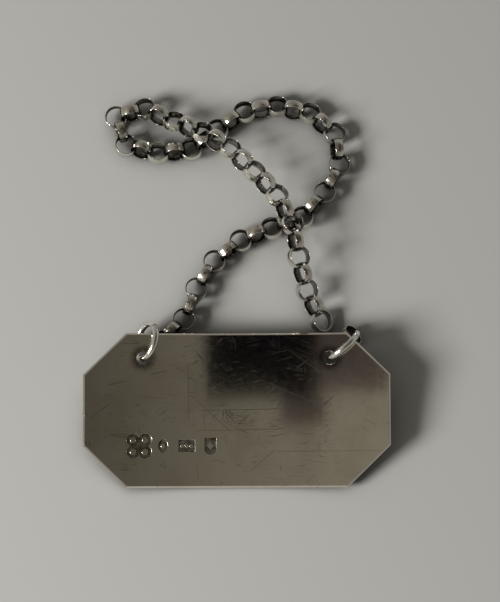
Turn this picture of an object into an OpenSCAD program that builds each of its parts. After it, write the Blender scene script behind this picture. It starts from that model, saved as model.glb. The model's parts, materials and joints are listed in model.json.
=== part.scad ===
// Silver wine label, laid face down on a flat surface at z = 0: an eight-sided plate bent to
// fit a bottle, two jump rings through its top corners and a chain of plain band links.
// The origin is on that surface, below the middle of the plate, with +Y towards the chain.

/* [Label plate] */
// Width of the plate between its upright ends
plate_w = 44; // [40:0.5:50]
// Height of the plate between its long edges
plate_h = 22.2; // [20:0.1:25]
// Length that a cut corner takes off a long edge
corner_x = 6.1; // [5:0.1:7]
// Length that a cut corner takes off an upright end
corner_y = 6; // [5:0.1:7]
// Thickness of the sheet
plate_t = 0.8; // [0.7:0.05:1]
// Width of the bevel round the back of the plate
bevel = 0.25; // [0.1:0.05:0.3]
// Radius of the bend that fits the back of the plate to a bottle
bend_r = 110; // [90:5:200]
// Tilt of the plate, whose top edge lies on the chain
tilt = 10; // [9.5:0.5:12]

/* [Suspension holes] */
// Diameter of a hole
hole_d = 2; // [1.9:0.05:2.4]
// Distance of a hole from its upright end
hole_inset_x = 8.6; // [7.5:0.1:9.5]
// Distance of a hole from the top edge
hole_inset_y = 3.6; // [3:0.1:3.8]

/* [Jump rings] */
// Outer diameter of a jump ring
ring_od = 6.2; // [6.2:0.1:7]
// Diameter of its wire
ring_wire = 0.9; // [0.7:0.05:1]
// Width of the slit where its ends meet
ring_slit = 0.12; // [0.05:0.01:0.3]
// How far its middle lies below the middle of the sheet
ring_drop = 0.6; // [0.4:0.05:0.8]

/* [Chain links] */
// Outer diameter of a link
link_od = 3.35; // [3.3:0.05:3.4]
// Width of the band that a link is bent from
link_w = 1.2; // [1:0.05:1.25]
// Thickness of the band at its middle
link_t = 0.24; // [0.22:0.01:0.26]
// Thickness of the band at its edges
link_edge = 0.1; // [0.08:0.02:0.14]
// Play between two linked links in a straight run
link_play = 0.32; // [0.28:0.01:0.34]
// How far the links lean over away from the plate
link_lean = 30; // [0:1:32]
// How far the lean varies from link to link
lean_swing = 3; // [0:1:5]

/* [Punched marks] */
// Depth of the marks
mark_depth = 0.15; // [0.05:0.05:0.3]
// Height of the marks above the bottom edge
mark_y = 6; // [4:0.1:8]
// Distance of the first mark from the left end
mark_x = 8; // [7:0.1:9]
// Spacing of the marks
mark_step = 3.4; // [3:0.1:4]

/* [Hidden] */
$fn = 64;
silver = [0.72, 0.70, 0.67];
dark_silver = [0.55, 0.53, 0.51];
eps = 0.01;

hole_x = plate_w / 2 - hole_inset_x;
hole_y = plate_h / 2 - hole_inset_y;
plate_lift = plate_h / 2 * sin(tilt) + plate_t * cos(tilt);
top_edge_y = plate_h / 2 * cos(tilt);

ring_r = (ring_od - ring_wire) / 2;
link_r = (link_od - link_t) / 2;
link_bore_r = link_od / 2 - link_t;
link_seat = link_bore_r - link_t / 2 - link_play;
hook_seat = link_bore_r - ring_wire / 2 - link_play;
pitch_max = link_r + link_seat;
// Height of the chain's middle line above the surface, and of a strand above one it crosses
rest_z = norm([link_od, link_w]) / 2;
cross_rise = link_od * 1.05;
lean_way = [cos(50), sin(50), 0];

// How each jump ring sits: the way it points from its hole in the plate, its lean to the right,
// and where round it the chain hooks on
left_ring_set = [105, 24, -95];
right_ring_set = [40, 12, -60];

// Middle line of the chain from the left ring to its loose end beside the right ring. Each point is
// across, up from the plate's top edge, and the number of strands that it lies on.
chain_route = [
    [-11.2, -0.5, 0], [-8.6, 1.6, 0], [-6.8, 4.4, 0], [-5.9, 7.4, 0], [-4.7, 9.8, 0],
    [-2.3, 12.6, 0], [0.5, 14.7, 0], [3.6, 16.3, 0], [6.4, 16.9, 0], [9, 17.7, 0],
    [11.7, 20.4, 0], [14.1, 23.6, 0], [15.5, 27.2, 0], [15.2, 30.5, 0], [13.2, 33.4, 0],
    [9.6, 35.3, 0], [5.4, 35.8, 0], [1, 34.8, 0], [-2.3, 32.5, 0], [-4.7, 30.2, 0],
    [-7.6, 28.7, 0], [-11, 28.4, 0], [-14.2, 28.8, 0], [-16.8, 30, 0], [-18.1, 32.3, 0.02],
    [-17.6, 34.7, 0.05], [-15.4, 35.6, 0.12], [-12.1, 34.6, 0.26], [-8.6, 32.6, 0.5], [-5.9, 31.2, 0.78],
    [-3.1, 29.7, 0.99], [-0.9, 28, 0.99], [1.3, 25.9, 0.94], [3.6, 23.6, 0.91], [5.7, 21.2, 0.93],
    [7.3, 18.7, 0.99], [8.3, 16.1, 1.01], [8.8, 13.4, 0.94], [9.2, 10.8, 0.77], [9.8, 8.2, 0.5],
    [10.7, 6, 0.27], [11.6, 4.1, 0.1], [12.4, 2.5, 0]
];

function unit(v) = v / norm(v);
function bend_height(x) = bend_r - sqrt(bend_r * bend_r - x * x);
function from_plate(p) = [
    p[0],
    p[1] * cos(tilt) - p[2] * sin(tilt),
    p[1] * sin(tilt) + p[2] * cos(tilt) + plate_lift
];
function turn_from_plate(v) = from_plate(v) - [0, 0, plate_lift];

// A jump ring's place: its middle, its direction away from the hole and its direction off the plate
function ring_place(side, set) =
    let (
        x = side * hole_x,
        slope = asin(x / bend_r),
        along = [cos(slope) * cos(set[0]) * side, sin(set[0]), sin(slope) * cos(set[0]) * side],
        off = [-sin(slope), 0, cos(slope)],
        up = off * cos(set[1]) + cross(along, off) * sin(set[1]),
        reach = sqrt(ring_r * ring_r - ring_drop * ring_drop),
        middle = [x, hole_y, bend_height(x)] - off * plate_t / 2 + along * reach - up * ring_drop
    )
    [from_plate(middle), turn_from_plate(along), turn_from_plate(up)];
function hook_point(place, set) =
    place[0] + ring_r * (cos(set[2]) * place[1] + sin(set[2]) * place[2]);

left_ring_place = ring_place(-1, left_ring_set);
right_ring_place = ring_place(1, right_ring_set);

// A smooth curve through the points of a route
function laid(route) = [for (p = route) [p[0], top_edge_y + p[1], rest_z + p[2] * cross_rise]];
function point_or_end(points, i) = points[max(0, min(len(points) - 1, i))];
function curve_point(a, b, c, d, u) =
    ((2 * b) + (c - a) * u + (2 * a - 5 * b + 4 * c - d) * u * u
    + (3 * b - a - 3 * c + d) * u * u * u) / 2;
curve_steps = 12;
function curve(points) = concat(
    [for (i = [0:len(points) - 2], j = [0:curve_steps - 1])
        curve_point(point_or_end(points, i - 1), points[i], points[i + 1],
            point_or_end(points, i + 2), j / curve_steps)],
    [points[len(points) - 1]]
);
function lengths(line) =
    [for (i = 0, s = 0; i < len(line); i = i + 1, s = s + norm(point_or_end(line, i) - line[i - 1])) s];
function at_length(line, along, s) =
    [for (axis = [0:2]) lookup(s, [for (i = [0:len(line) - 1]) [along[i], line[i][axis]]])];

// The links of a strand, from its ring to its end, a standing and a lying link by turns. The lying
// links have their middles on the curve, and each standing link lies midway between two of them
// and points at both. A bend keeps its links from leaning. Each link has its middle, the way
// along the chain and the axis that its band is bent round.
function strand(hook, route) =
    let (
        line = curve(concat([hook], laid(route))),
        along = lengths(line),
        free = along[len(along) - 1] - hook_seat,
        pairs = ceil((free / pitch_max + 1) / 2),
        pitch = free / (2 * pairs - 1),
        lying = [for (i = [0:pairs - 1]) at_length(line, along, hook_seat + (2 * i + 1) * pitch)],
        ways = [for (i = [0:pairs - 1]) unit(lying[i] - (i == 0 ? hook : lying[i - 1]))],
        standing = [for (i = [0:pairs - 1])
            i == 0 ? hook + hook_seat * ways[0] : (lying[i - 1] + lying[i]) / 2],
        next_ways = [for (i = [0:pairs - 1]) ways[min(i + 1, pairs - 1)]],
        free_leans = [for (i = [0:pairs - 1]) pow(max(0, ways[i] * next_ways[i]), 3)]
    )
    [for (i = [0:pairs - 1], turn = [0, 90])
        turn == 0 ? posed(standing[i], ways[i], 2 * i, turn, (free_leans[max(0, i - 1)] + free_leans[i]) / 2)
        : posed(lying[i], unit(ways[i] + next_ways[i]), 2 * i + 1, turn, free_leans[i])];
function posed(middle, way, k, turn, free_lean) =
    let (
        side = unit(cross([0, 0, 1], way)),
        up = cross(way, side),
        lean = turn + free_lean * (lean_swing * sin(47 * k) - link_lean * (side * lean_way))
    )
    [middle, way, side * cos(lean) + up * sin(lean)];

// A link that hangs from a jump ring alone
function hung(place, set) =
    let (hook = hook_point(place, set), out = unit(hook - place[0]))
    [hook + hook_seat * out, out, cross(cross(place[1], place[2]), out)];

chain = strand(hook_point(left_ring_place, left_ring_set), chain_route);
end_place = hung(right_ring_place, right_ring_set);

link_names = [for (k = [0:len(chain) - 1]) str("chain_link_", k < 9 ? "0" : "", k + 1)];

// Moves what is drawn round the Z axis to a middle, with its X and Z axes turned to two directions
module placed(middle, x_way, z_way) {
    y_way = cross(z_way, x_way);
    multmatrix([for (i = [0:2]) [x_way[i], y_way[i], z_way[i], middle[i]]]) children();
}

module plate_outline() {
    x = plate_w / 2;
    y = plate_h / 2;
    polygon([
        [x, corner_y - y], [x, y - corner_y], [x - corner_x, y], [corner_x - x, y],
        [-x, y - corner_y], [-x, corner_y - y], [corner_x - x, -y], [x - corner_x, -y]
    ]);
}

// Sheet bent round an axis above it that runs along Y, with its long edges bevelled on the back
module bent_sheet() {
    half_angle = asin(plate_w / 2 / bend_r) + 1;
    translate([0, 0, bend_r]) rotate([90, 0, 0]) rotate([0, 0, -90 - half_angle])
        rotate_extrude(angle = 2 * half_angle, $fn = 720)
            polygon([
                [bend_r, bevel - plate_h / 2], [bend_r, plate_h / 2 - bevel],
                [bend_r + bevel, plate_h / 2], [bend_r + plate_t, plate_h / 2],
                [bend_r + plate_t, -plate_h / 2], [bend_r + bevel, -plate_h / 2]
            ]);
}

// Block that bevels the back of an edge at a point, square to a direction in the sheet
module bevel_block(x, y, way) {
    translate([0, y, bend_r]) rotate([0, -asin(x / bend_r), 0]) translate([0, 0, -bend_r])
        rotate([0, 0, way]) translate([-bevel, 0, 0]) rotate([0, -45, 0])
            translate([0, -plate_h, -2 * plate_t]) cube([2 * plate_t, 2 * plate_h, 4 * plate_t]);
}

module edge_bevels() {
    corner_slope = asin((plate_w - corner_x) / 2 / bend_r);
    corner_way = atan(corner_x / cos(corner_slope) / corner_y);
    for (sx = [-1, 1]) {
        bevel_block(sx * plate_w / 2, 0, sx > 0 ? 0 : 180);
        for (sy = [-1, 1])
            bevel_block(sx * (plate_w - corner_x) / 2, sy * (plate_h - corner_y) / 2,
                sx > 0 ? sy * corner_way : 180 - sy * corner_way);
    }
}

module suspension_hole(x) {
    translate([0, hole_y, bend_r]) rotate([0, -asin(x / bend_r), 0])
        translate([0, 0, -bend_r - 2 * plate_t]) cylinder(d = hole_d, h = 4 * plate_t);
}

// Plain punch marks: a four-lobed one with pellets, an oval, a cut rectangle and a shield
module lobes(r, spread) {
    for (sx = [-1, 1], sy = [-1, 1]) translate([sx * spread, sy * spread]) circle(r);
}

module pellet_mark() {
    difference() {
        lobes(0.95, 0.85);
        lobes(0.42, 0.85);
    }
    square(1, center = true);
}

module oval_mark() {
    difference() {
        intersection() {
            translate([-0.45, 0]) circle(1.15);
            translate([0.45, 0]) circle(1.15);
        }
        circle(0.32);
    }
}

module bar_mark() {
    difference() {
        square([2.4, 1.8], center = true);
        for (x = [-0.65, 0, 0.65]) translate([x, 0]) circle(0.26);
    }
}

module shield_mark() {
    difference() {
        union() {
            translate([-0.85, -0.4]) square([1.7, 1.6]);
            translate([0, -0.4]) circle(0.85);
        }
        rotate(45) square(0.7, center = true);
    }
}

module mark_cut(place) {
    translate([mark_x + place * mark_step - plate_w / 2, mark_y - plate_h / 2, -plate_t])
        linear_extrude(bend_height(plate_w / 2) + plate_t) children();
}

module marks() {
    intersection() {
        union() {
            mark_cut(0) pellet_mark();
            mark_cut(1) oval_mark();
            mark_cut(2) bar_mark();
            mark_cut(3) shield_mark();
        }
        translate([0, plate_h, bend_r]) rotate([90, 0, 0])
            cylinder(r = bend_r + mark_depth, h = 2 * plate_h, $fn = 720);
    }
}

module label_plate() {
    color(silver) translate([0, 0, plate_lift]) rotate([tilt, 0, 0]) difference() {
        intersection() {
            bent_sheet();
            translate([0, 0, -plate_t - 1]) linear_extrude(bend_height(plate_w / 2) + plate_t + 2)
                plate_outline();
        }
        edge_bevels();
        suspension_hole(-hole_x);
        suspension_hole(hole_x);
        marks();
    }
}

// Ring of round wire, slit across beside the hole that it hangs in
module jump_ring(place) {
    color(silver) placed(place[0], place[1], cross(place[1], place[2])) difference() {
        rotate_extrude() translate([ring_r, 0]) circle(d = ring_wire);
        rotate([0, 0, 35]) translate([0, -ring_slit / 2, -ring_wire])
            cube([ring_od, ring_slit, 2 * ring_wire]);
    }
}

// Ring of band whose two faces slope off from a flat middle to thinner edges
module chain_link(place) {
    flat = link_w / 6;
    color(dark_silver) placed(place[0], place[1], place[2]) rotate_extrude() translate([link_r, 0])
        polygon([
            [link_edge / 2, -link_w / 2], [link_t / 2, -flat],
            [link_t / 2, flat], [link_edge / 2, link_w / 2],
            [-link_edge / 2, link_w / 2], [-link_t / 2, flat],
            [-link_t / 2, -flat], [-link_edge / 2, -link_w / 2]
        ]);
}

label_plate();
jump_ring(left_ring_place);  // left_jump_ring
jump_ring(right_ring_place);  // right_jump_ring
for (k = [0:len(chain) - 1])
    chain_link(chain[k]);
chain_link(end_place);  // end_link
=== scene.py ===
# Silver wine label lying on its face, with its jump rings and chain, on a plain pale floor
import json
import math

import bpy
from mathutils import Matrix, Vector

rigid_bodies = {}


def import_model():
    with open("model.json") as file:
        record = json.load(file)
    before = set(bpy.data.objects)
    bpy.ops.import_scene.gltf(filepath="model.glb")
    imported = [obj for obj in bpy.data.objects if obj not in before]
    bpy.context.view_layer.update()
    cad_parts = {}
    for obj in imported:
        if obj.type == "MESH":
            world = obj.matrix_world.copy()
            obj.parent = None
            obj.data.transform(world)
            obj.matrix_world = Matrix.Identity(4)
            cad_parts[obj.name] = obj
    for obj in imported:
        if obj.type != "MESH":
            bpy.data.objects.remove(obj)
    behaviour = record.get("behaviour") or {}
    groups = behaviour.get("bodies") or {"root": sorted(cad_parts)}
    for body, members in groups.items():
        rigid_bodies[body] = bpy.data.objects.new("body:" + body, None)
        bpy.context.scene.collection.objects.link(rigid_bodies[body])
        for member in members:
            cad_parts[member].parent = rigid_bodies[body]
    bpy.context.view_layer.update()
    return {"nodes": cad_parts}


mm = 0.001

for startObject in list(bpy.data.objects):
    bpy.data.objects.remove(startObject)

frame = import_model()
nodes = frame["nodes"]
print("frame: %d nodes" % len(nodes))

scene = bpy.context.scene
scene.view_settings.view_transform = "Standard"

# almost straight above the plate
camera = {
    "place": (0, -62.4 * mm, 296 * mm),
    "aim": (2 * mm, 17 * mm, 0),
    "roll": 1.2,  # degrees
    "lens": 124.4,  # millimetres
    "sensor": 36,  # millimetres, along the taller side of the picture
    "clip": (0.01, 10),  # metres
}


def makeCamera(spec):
    lens = bpy.data.cameras.new("camera")
    lens.lens = spec["lens"]
    lens.sensor_width = spec["sensor"]
    lens.clip_start, lens.clip_end = spec["clip"]
    viewer = bpy.data.objects.new("camera", lens)
    scene.collection.objects.link(viewer)
    place = Vector(spec["place"])
    look = (Vector(spec["aim"]) - place).to_track_quat("-Z", "Y").to_matrix().to_4x4()
    turn = Matrix.Rotation(math.radians(spec["roll"]), 4, "Z")
    viewer.matrix_world = Matrix.Translation(place) @ look @ turn
    scene.camera = viewer


makeCamera(camera)
print("camera: placed")


# node helpers: each value is either a socket to link or a fixed number, vector or colour
def addNode(tree, kind, **settings):
    made = tree.nodes.new(kind)
    for key, value in settings.items():
        setattr(made, key, value)
    return made


def wire(tree, source, target):
    if isinstance(source, bpy.types.NodeSocket):
        tree.links.new(source, target)
    elif target.type == "RGBA":
        target.default_value = (*source, 1)
    else:
        target.default_value = source


def fill(tree, made, values):
    for title, value in values.items():
        wire(tree, value, made.inputs[title])


def mathNode(tree, operation, *values, clamp=False):
    made = addNode(tree, "ShaderNodeMath", operation=operation, use_clamp=clamp)
    for value, socket in zip(values, made.inputs):
        wire(tree, value, socket)
    return made.outputs[0]


def vectorNode(tree, operation, first, second, answer="Vector"):
    made = addNode(tree, "ShaderNodeVectorMath", operation=operation)
    wire(tree, first, made.inputs[0])
    wire(tree, second, made.inputs["Scale" if operation == "SCALE" else 1])
    return made.outputs[answer]


def splitNode(tree, vector):
    made = addNode(tree, "ShaderNodeSeparateXYZ")
    wire(tree, vector, made.inputs[0])
    return made.outputs


def joinNode(tree, x, y, z=0.0):
    made = addNode(tree, "ShaderNodeCombineXYZ")
    fill(tree, made, {"X": x, "Y": y, "Z": z})
    return made.outputs[0]


def noiseNode(tree, vector, scale, detail=2.0, roughness=0.5, distortion=0.0):
    made = addNode(tree, "ShaderNodeTexNoise")
    fill(tree, made, {"Vector": vector, "Scale": scale, "Detail": detail})
    fill(tree, made, {"Roughness": roughness, "Distortion": distortion})
    return made.outputs["Fac"]


def rangeNode(tree, value, low, high, toLow=0.0, toHigh=1.0, shape="SMOOTHSTEP"):
    made = addNode(tree, "ShaderNodeMapRange", interpolation_type=shape)
    fill(tree, made, {"Value": value, "From Min": low, "From Max": high})
    fill(tree, made, {"To Min": toLow, "To Max": toHigh})
    return made.outputs["Result"]


# a mix node's colour sockets go by number, because others have the same names
mixSockets = {"amount": 0, "first": 6, "second": 7, "result": 2}


def mixColour(tree, amount, first, second):
    made = addNode(tree, "ShaderNodeMix", data_type="RGBA")
    wire(tree, amount, made.inputs[mixSockets["amount"]])
    wire(tree, first, made.inputs[mixSockets["first"]])
    wire(tree, second, made.inputs[mixSockets["second"]])
    return made.outputs[mixSockets["result"]]


def strongest(tree, masks):
    top = masks[0]
    for mask in masks[1:]:
        top = mathNode(tree, "MAXIMUM", top, mask)
    return top


def insideMask(tree, value, low, high, fade):
    rise = rangeNode(tree, value, low - fade, low)
    fall = rangeNode(tree, value, high, high + fade, 1.0, 0.0)
    return mathNode(tree, "MULTIPLY", rise, fall)


# an input is a title and its starting number, or a title and None for a vector
def newGroup(name, inputs, outputs):
    group = bpy.data.node_groups.new(name, "ShaderNodeTree")
    for title, number in inputs:
        kind = "NodeSocketVector" if number is None else "NodeSocketFloat"
        socket = group.interface.new_socket(title, in_out="INPUT", socket_type=kind)
        if number is not None:
            socket.default_value = number
    for title, kind in outputs:
        group.interface.new_socket(title, in_out="OUTPUT", socket_type=kind)
    entry = group.nodes.new("NodeGroupInput")
    leave = group.nodes.new("NodeGroupOutput")
    return group, entry.outputs, leave.inputs


def placeGroup(tree, group, **values):
    made = addNode(tree, "ShaderNodeGroup", node_tree=group)
    fill(tree, made, values)
    return made.outputs


# hairline scratches: thin contour lines of a noise that is stretched along one direction
hairline = {
    "detail": 1.0,
    "roughness": 0.4,
    "level": 0.5,
    "patchScale": 260.0,
    "patchFade": 0.1,
}


def makeScratchGroup(spec):
    group, given, gives = newGroup(
        "hairScratches",
        [
            ("Vector", None),
            ("Angle", 0.0),
            ("Density", 400.0),
            ("Stretch", 0.05),
            ("Thickness", 0.02),
            ("Cover", 0.5),
        ],
        [("Scratch", "NodeSocketFloat")],
    )
    turn = addNode(group, "ShaderNodeVectorRotate", rotation_type="Z_AXIS")
    fill(group, turn, {"Vector": given["Vector"], "Angle": given["Angle"]})
    turned = turn.outputs[0]
    parts = splitNode(group, turned)
    long = mathNode(group, "MULTIPLY", parts["X"], given["Stretch"])
    stretched = joinNode(group, long, parts["Y"], given["Angle"])
    field = noiseNode(group, stretched, given["Density"], spec["detail"], spec["roughness"])
    off = mathNode(group, "ABSOLUTE", mathNode(group, "SUBTRACT", field, spec["level"]))
    line = rangeNode(group, off, 0.0, given["Thickness"], 1.0, 0.0)
    patch = noiseNode(group, turned, spec["patchScale"])
    coverEnd = mathNode(group, "ADD", given["Cover"], spec["patchFade"])
    shown = rangeNode(group, patch, given["Cover"], coverEnd)
    wire(group, mathNode(group, "MULTIPLY", line, shown), gives["Scratch"])
    return group


# cloudy film of tarnish, thicker in the hollows; in the chain this darkening of the hollows is
# painted shade as well as patina
tarnish = {
    "broad": (4.0, 0.55, 0.3),  # a noise's detail, roughness and distortion
    "fine": (3.0, 0.6),
    "fineScale": 9.0,
    "cloud": (0.38, 0.72),
    "cloudShare": 0.35,
}


def makeTarnishGroup(spec):
    group, given, gives = newGroup(
        "tarnishFilm",
        [("Vector", None), ("Scale", 200.0), ("Hollow", 0.0)],
        [("Film", "NodeSocketFloat"), ("Grain", "NodeSocketFloat")],
    )
    broad = noiseNode(group, given["Vector"], given["Scale"], *spec["broad"])
    cloud = rangeNode(group, broad, *spec["cloud"])
    share = mathNode(group, "MULTIPLY", cloud, spec["cloudShare"])
    wire(group, mathNode(group, "ADD", share, given["Hollow"], clamp=True), gives["Film"])
    fineScale = mathNode(group, "MULTIPLY", given["Scale"], spec["fineScale"])
    wire(group, noiseNode(group, given["Vector"], fineScale, *spec["fine"]), gives["Grain"])
    return group


# one scratch drawn between two points of a flat piece
def makeLineGroup():
    group, given, gives = newGroup(
        "drawnScratch",
        [("Vector", None), ("From", None), ("To", None), ("Width", 0.05 * mm)],
        [("Scratch", "NodeSocketFloat")],
    )
    reach = vectorNode(group, "SUBTRACT", given["To"], given["From"])
    away = vectorNode(group, "SUBTRACT", given["Vector"], given["From"])
    alongReach = vectorNode(group, "DOT_PRODUCT", away, reach, "Value")
    reachSquared = vectorNode(group, "DOT_PRODUCT", reach, reach, "Value")
    share = mathNode(group, "DIVIDE", alongReach, reachSquared, clamp=True)
    nearest = vectorNode(group, "SCALE", reach, share)
    gap = vectorNode(group, "DISTANCE", away, nearest, "Value")
    wire(group, rangeNode(group, gap, 0.0, given["Width"], 1.0, 0.0), gives["Scratch"])
    return group


# 1 where a place is shut in, 0 where it is open to all sides
def makeHollowGroup():
    group, given, gives = newGroup(
        "hollowMask",
        [("Reach", 1 * mm), ("Shut", 0.0), ("Open", 1.0)],
        [("Hollow", "NodeSocketFloat")],
    )
    found = addNode(group, "ShaderNodeAmbientOcclusion", samples=8)
    wire(group, given["Reach"], found.inputs["Distance"])
    mask = rangeNode(group, found.outputs["AO"], given["Shut"], given["Open"], 1.0, 0.0)
    wire(group, mask, gives["Hollow"])
    return group


# edges that catch the light as if they were rounded
def makeEdgeGroup():
    group, given, gives = newGroup(
        "softEdges",
        [("Radius", 0.05 * mm)],
        [("Normal", "NodeSocketVector")],
    )
    found = addNode(group, "ShaderNodeBevel", samples=6)
    wire(group, given["Radius"], found.inputs["Radius"])
    wire(group, found.outputs["Normal"], gives["Normal"])
    return group


scratchGroup = makeScratchGroup(hairline)
tarnishGroup = makeTarnishGroup(tarnish)
lineGroup = makeLineGroup()
hollowGroup = makeHollowGroup()
edgeGroup = makeEdgeGroup()
print("node groups: made")


def newMaterial(name):
    made = bpy.data.materials.new(name)
    made.use_nodes = True
    tree = made.node_tree
    return made, tree, tree.nodes["Principled BSDF"]


def newSilver(name):
    made, tree, shader = newMaterial(name)
    shader.inputs["Metallic"].default_value = 1.0
    coords = addNode(tree, "ShaderNodeTexCoord").outputs["Object"]
    return made, tree, shader, coords


def addRelief(tree, shader, height, spec):
    bump = addNode(tree, "ShaderNodeBump")
    edges = placeGroup(tree, edgeGroup, Radius=spec["edgeRound"])
    fill(tree, bump, {"Strength": spec["reliefStrength"], "Distance": spec["reliefDepth"]})
    fill(tree, bump, {"Height": height, "Normal": edges["Normal"]})
    wire(tree, bump.outputs["Normal"], shader.inputs["Normal"])


# four numbers in a row are two levels of the grain and the values that they turn into
plate = {
    "silver": (0.80, 0.75, 0.655),
    "tarnish": (0.50, 0.43, 0.33),
    # dark colour of the tarnish in the marks' ground, and of the painted shade round the holes
    "darkTarnishAndShade": (0.075, 0.055, 0.038),
    "tarnishScale": 150.0,
    "bendRadius": 110 * mm,
    "tilt": 10,  # degrees
    "lift": 2.715 * mm,
    "roughness": (0.3, 0.7, 0.065, 0.085),
    "edgeRound": 0.09 * mm,
    "reliefStrength": 0.35,
    "reliefDepth": 0.05 * mm,
    "waveScale": 160.0,
    "waveHeight": 0.13,
    # the strip of marks: its corners, and how deep their ground lies
    "marks": ((-16.2 * mm, -7.3 * mm), (-2.4 * mm, -2.9 * mm)),
    "marksFade": 0.1 * mm,
    "ground": (0.10 * mm, 0.3 * mm),
    "groundFade": 0.08 * mm,
    "groundGrime": (0.2, 0.75, 1.0, 0.55),
    "groundDull": 0.25,
    # painted shade round the holes, standing in for the rings' shadows and reflections, from one
    # distance to another
    "holes": ((-13.4 * mm, 7.5 * mm), (13.4 * mm, 7.5 * mm)),
    "haloReach": (1.0 * mm, 2.3 * mm),
    "haloShare": 0.85,
    "haloPatches": (0.25, 0.6, 0.5, 1.0),
    # hairlines as angle, density, stretch, thickness and cover
    "hairlines": (
        (0.05, 1300.0, 0.05, 0.011, 0.53),
        (0.9, 1100.0, 0.06, 0.009, 0.56),
        (-0.7, 1200.0, 0.05, 0.009, 0.55),
        (1.5, 1000.0, 0.05, 0.009, 0.58),
        (0.4, 900.0, 0.03, 0.008, 0.52),
        (-0.25, 1000.0, 0.03, 0.008, 0.51),
    ),
    # longer scratches, each from one point to another, in millimetres
    "scratches": (
        ((-7.0, 6.2), (-6.9, -1.4)),
        ((-6.6, 2.1), (-0.9, -3.0)),
        ((-5.5, 0.0), (5.9, 0.2)),
        ((-5.7, -2.9), (6.2, -2.7)),
        ((-14.2, 2.0), (-10.1, 1.7)),
        ((1.9, -8.7), (5.5, -5.7)),
        ((5.9, -5.9), (21.0, -5.9)),
        ((18.3, -1.3), (19.9, -2.2)),
        ((-5.7, -7.9), (-5.6, -9.9)),
        ((-4.8, 0.0), (-4.6, -2.8)),
        ((7.5, 8.7), (11.8, 5.5)),
        ((4.6, 3.9), (12.2, 0.4)),
    ),
    "scratchWidth": 0.07 * mm,
    "scratchTone": (0.34, 0.30, 0.24),
    "scratchShare": 0.6,
    "scratchDull": 0.1,
    "scratchDepth": 0.045,
}


# places on the plate without its tilt, and the depth below its bent back
def plateCoordinates(tree, coords, spec):
    level = addNode(tree, "ShaderNodeMapping", vector_type="TEXTURE")
    tilt = math.radians(spec["tilt"])
    fill(tree, level, {"Vector": coords, "Location": (0, 0, spec["lift"]), "Rotation": (tilt, 0, 0)})
    onPlate = level.outputs[0]
    across, along, high = splitNode(tree, onPlate)
    fromAxis = mathNode(tree, "SUBTRACT", high, spec["bendRadius"])
    acrossSquared = mathNode(tree, "MULTIPLY", across, across)
    fromAxisSquared = mathNode(tree, "MULTIPLY", fromAxis, fromAxis)
    radius = mathNode(tree, "SQRT", mathNode(tree, "ADD", acrossSquared, fromAxisSquared))
    depth = mathNode(tree, "SUBTRACT", radius, spec["bendRadius"])
    return onPlate, across, along, depth


# the marks' sunken ground, inside the strip that they are punched in
def groundMask(tree, across, along, depth, spec):
    (left, low), (right, top) = spec["marks"]
    columns = insideMask(tree, across, left, right, spec["marksFade"])
    rows = insideMask(tree, along, low, top, spec["marksFade"])
    strip = mathNode(tree, "MULTIPLY", columns, rows)
    sunken = insideMask(tree, depth, *spec["ground"], spec["groundFade"])
    return mathNode(tree, "MULTIPLY", strip, sunken)


def scratchMask(tree, onPlate, flat, spec):
    titles = ("Angle", "Density", "Stretch", "Thickness", "Cover")
    masks = []
    for numbers in spec["hairlines"]:
        drawn = placeGroup(tree, scratchGroup, Vector=onPlate, **dict(zip(titles, numbers)))
        masks.append(drawn["Scratch"])
    for ends in spec["scratches"]:
        start, stop = ((x * mm, y * mm, 0) for x, y in ends)
        line = {"From": start, "To": stop, "Width": spec["scratchWidth"]}
        masks.append(placeGroup(tree, lineGroup, Vector=flat, **line)["Scratch"])
    return strongest(tree, masks)


# painted shade round the holes, standing in for the shadows and reflections of the rings, broken
# into patches by the grain
def holeShadeMask(tree, flat, grain, spec):
    masks = []
    for hole in spec["holes"]:
        away = vectorNode(tree, "DISTANCE", flat, (*hole, 0), "Value")
        masks.append(rangeNode(tree, away, *spec["haloReach"], spec["haloShare"], 0.0))
    patches = rangeNode(tree, grain, *spec["haloPatches"])
    return mathNode(tree, "MULTIPLY", strongest(tree, masks), patches)


def makePlateSilver(spec):
    made, tree, shader, coords = newSilver("plateSilver")
    onPlate, across, along, depth = plateCoordinates(tree, coords, spec)
    flat = joinNode(tree, across, along)
    film = placeGroup(tree, tarnishGroup, Vector=onPlate, Scale=spec["tarnishScale"])
    grain = film["Grain"]
    ground = groundMask(tree, across, along, depth, spec)
    scratches = scratchMask(tree, onPlate, flat, spec)

    toned = mixColour(tree, film["Film"], spec["silver"], spec["tarnish"])
    scratchShare = mathNode(tree, "MULTIPLY", scratches, spec["scratchShare"])
    scored = mixColour(tree, scratchShare, toned, spec["scratchTone"])
    groundGrime = mathNode(tree, "MULTIPLY", ground, rangeNode(tree, grain, *spec["groundGrime"]))
    # dark tarnish in the marks' ground, and painted shade round the holes
    marksTarnishAndHoleShade = strongest(tree, (groundGrime, holeShadeMask(tree, flat, grain, spec)))
    wire(tree, mixColour(tree, marksTarnishAndHoleShade, scored, spec["darkTarnishAndShade"]), shader.inputs["Base Color"])

    rough = rangeNode(tree, grain, *spec["roughness"])
    for mask, dull in ((scratches, spec["scratchDull"]), (ground, spec["groundDull"])):
        rough = mathNode(tree, "ADD", rough, mathNode(tree, "MULTIPLY", mask, dull))
    wire(tree, rough, shader.inputs["Roughness"])

    wave = noiseNode(tree, onPlate, spec["waveScale"], detail=1.0)
    raised = mathNode(tree, "MULTIPLY", wave, spec["waveHeight"])
    cut = mathNode(tree, "MULTIPLY", scratches, spec["scratchDepth"])
    addRelief(tree, shader, mathNode(tree, "SUBTRACT", raised, cut), spec)
    return made


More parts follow.
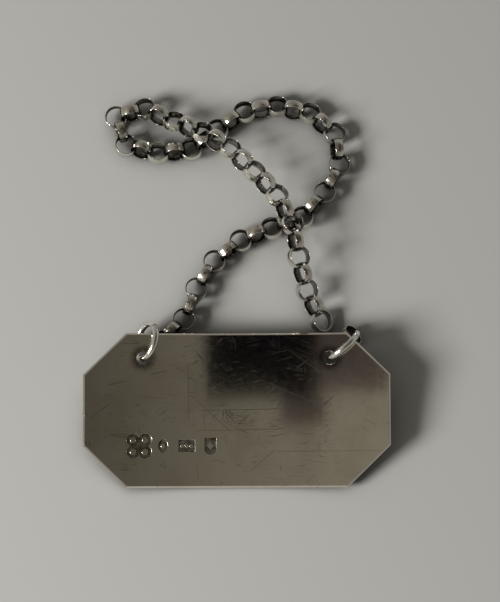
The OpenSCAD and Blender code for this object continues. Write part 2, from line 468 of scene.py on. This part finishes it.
# rings and chain share their grain and fine scratches
wireFinish = {
    "tarnishScale": 500.0,
    "scratches": {"Angle": 0.6, "Density": 1500.0, "Stretch": 0.1, "Thickness": 0.02, "Cover": 0.5},
    "edgeRound": 0.05 * mm,
    "reliefStrength": 0.2,
    "reliefDepth": 0.02 * mm,
}

rings = {
    "silver": (0.86, 0.84, 0.79),
    "tarnish": (0.30, 0.26, 0.20),
    "roughness": (0.3, 0.7, 0.12, 0.24),
    "hollows": {"Reach": 1 * mm, "Shut": 0.1, "Open": 0.6},
}

chain = {
    "silver": (0.80, 0.765, 0.685),
    # near-black tarnish that the hollow mask spreads over the links' insides and their sides near
    # the floor: patina, and painted shade where shade falls
    "tarnish": (0.030, 0.026, 0.020),
    "roughness": (0.3, 0.7, 0.10, 0.22),
    "hollows": {"Reach": 2.5 * mm, "Shut": 0.55, "Open": 1.0},
}


def makeWireSilver(name, spec):
    made, tree, shader, coords = newSilver(name)
    # the hollow mask darkens the tarnish; in the chain this is painted shade as well as patina
    hollow = placeGroup(tree, hollowGroup, **spec["hollows"])["Hollow"]
    filmScale = wireFinish["tarnishScale"]
    film = placeGroup(tree, tarnishGroup, Vector=coords, Scale=filmScale, Hollow=hollow)
    toned = mixColour(tree, film["Film"], spec["silver"], spec["tarnish"])
    wire(tree, toned, shader.inputs["Base Color"])
    wire(tree, rangeNode(tree, film["Grain"], *spec["roughness"]), shader.inputs["Roughness"])
    scratches = placeGroup(tree, scratchGroup, Vector=coords, **wireFinish["scratches"])["Scratch"]
    addRelief(tree, shader, mathNode(tree, "SUBTRACT", film["Grain"], scratches), wireFinish)
    return made


plateSilver = makePlateSilver(plate)
ringSilver = makeWireSilver("ringSilver", rings)
chainSilver = makeWireSilver("chainSilver", chain)
for name, node in nodes.items():
    if name == "label_plate":
        finish = plateSilver
    elif name.endswith("jump_ring"):
        finish = ringSilver
    else:
        finish = chainSilver
    node.data.materials.clear()
    node.data.materials.append(finish)
print("materials: set on %d nodes" % len(nodes))


def makeRectangle(name, corners, height, paint):
    (left, low), (right, top) = corners
    outline = ((left, low), (right, low), (right, top), (left, top))
    mesh = bpy.data.meshes.new(name)
    mesh.from_pydata([(x, y, height) for x, y in outline], [], [(0, 1, 2, 3)])
    mesh.materials.append(paint)
    made = bpy.data.objects.new(name, mesh)
    scene.collection.objects.link(made)
    return made


floor = {
    "half": 1.5,
    "colour": (0.42, 0.42, 0.408),
    "roughness": 0.9,
    # painted shade: the floor's colour goes darker close under the metal, where shadow falls
    "paintedShadeColour": (0.12, 0.117, 0.11),
    "hollows": {"Reach": 6 * mm, "Shut": 0.25, "Open": 0.95},
}


def makeFloor(spec):
    paint, tree, shader = newMaterial("paleFloor")
    # painted shade on the floor where it is shut in under the metal
    under = placeGroup(tree, hollowGroup, **spec["hollows"])["Hollow"]
    wire(tree, mixColour(tree, under, spec["colour"], spec["paintedShadeColour"]), shader.inputs["Base Color"])
    shader.inputs["Roughness"].default_value = spec["roughness"]
    half = spec["half"]
    made = makeRectangle("floor", ((-half, -half), (half, half)), 0, paint)


makeFloor(floor)
print("floor: made")

keyLight = {
    "place": (-0.464, -0.194, 0.327),
    "size": 0.22,
    "power": 5.2,
    "colour": (1.0, 0.985, 0.96),
}


def makeKeyLight(spec):
    lamp = bpy.data.lights.new("keyLight", "AREA")
    lamp.shape = "SQUARE"
    lamp.size = spec["size"]
    lamp.energy = spec["power"]
    lamp.color = spec["colour"]
    made = bpy.data.objects.new("keyLight", lamp)
    scene.collection.objects.link(made)
    made.location = spec["place"]
    made.rotation_euler = (-Vector(spec["place"])).to_track_quat("-Z", "Y").to_euler()


# the change from left to right goes by the sky's x, the one from horizon to overhead by its z
sky = {
    "horizon": (0.28, 0.275, 0.26),
    "overheadLeft": (0.30, 0.28, 0.235),
    "overheadRight": (0.035, 0.031, 0.025),
    "leftToRight": (-0.6, 0.5),
    "horizonToOverhead": (0.35, 0.8),
}


def makeSky(spec):
    world = bpy.data.worlds.new("studio")
    scene.world = world
    world.use_nodes = True
    tree = world.node_tree
    direction = splitNode(tree, addNode(tree, "ShaderNodeTexCoord").outputs["Generated"])
    slide = rangeNode(tree, direction["X"], *spec["leftToRight"], shape="LINEAR")
    overhead = mixColour(tree, slide, spec["overheadLeft"], spec["overheadRight"])
    rise = rangeNode(tree, direction["Z"], *spec["horizonToOverhead"])
    colour = mixColour(tree, rise, spec["horizon"], overhead)
    wire(tree, colour, tree.nodes["Background"].inputs["Color"])


# cards above the plate that its polished back mirrors: corners in millimetres and tone
cardHeight = 300 * mm
cards = {
    "darkCard": {"corners": ((-40, -38), (16, 110)), "tone": (0.002, 0.002, 0.003)},
    "dimCard": {"corners": ((-74, -36), (-40, 110)), "tone": (0.055, 0.045, 0.043)},
    "lowCard": {"corners": ((-44, -46), (-22, -38)), "tone": (0.055, 0.045, 0.043)},
}


def makeCard(name, spec):
    paint, _, shader = newMaterial(name)
    shader.inputs["Base Color"].default_value = (0, 0, 0, 1)
    shader.inputs["Specular IOR Level"].default_value = 0.0
    shader.inputs["Emission Color"].default_value = (*spec["tone"], 1)
    shader.inputs["Emission Strength"].default_value = 1.0
    corners = [(x * mm, y * mm) for x, y in spec["corners"]]
    made = makeRectangle(name, corners, cardHeight, paint)
    made.visible_camera = False
    made.visible_diffuse = False
    made.visible_shadow = False


makeKeyLight(keyLight)
makeSky(sky)
for cardName, card in cards.items():
    makeCard(cardName, card)
print("lights: set")
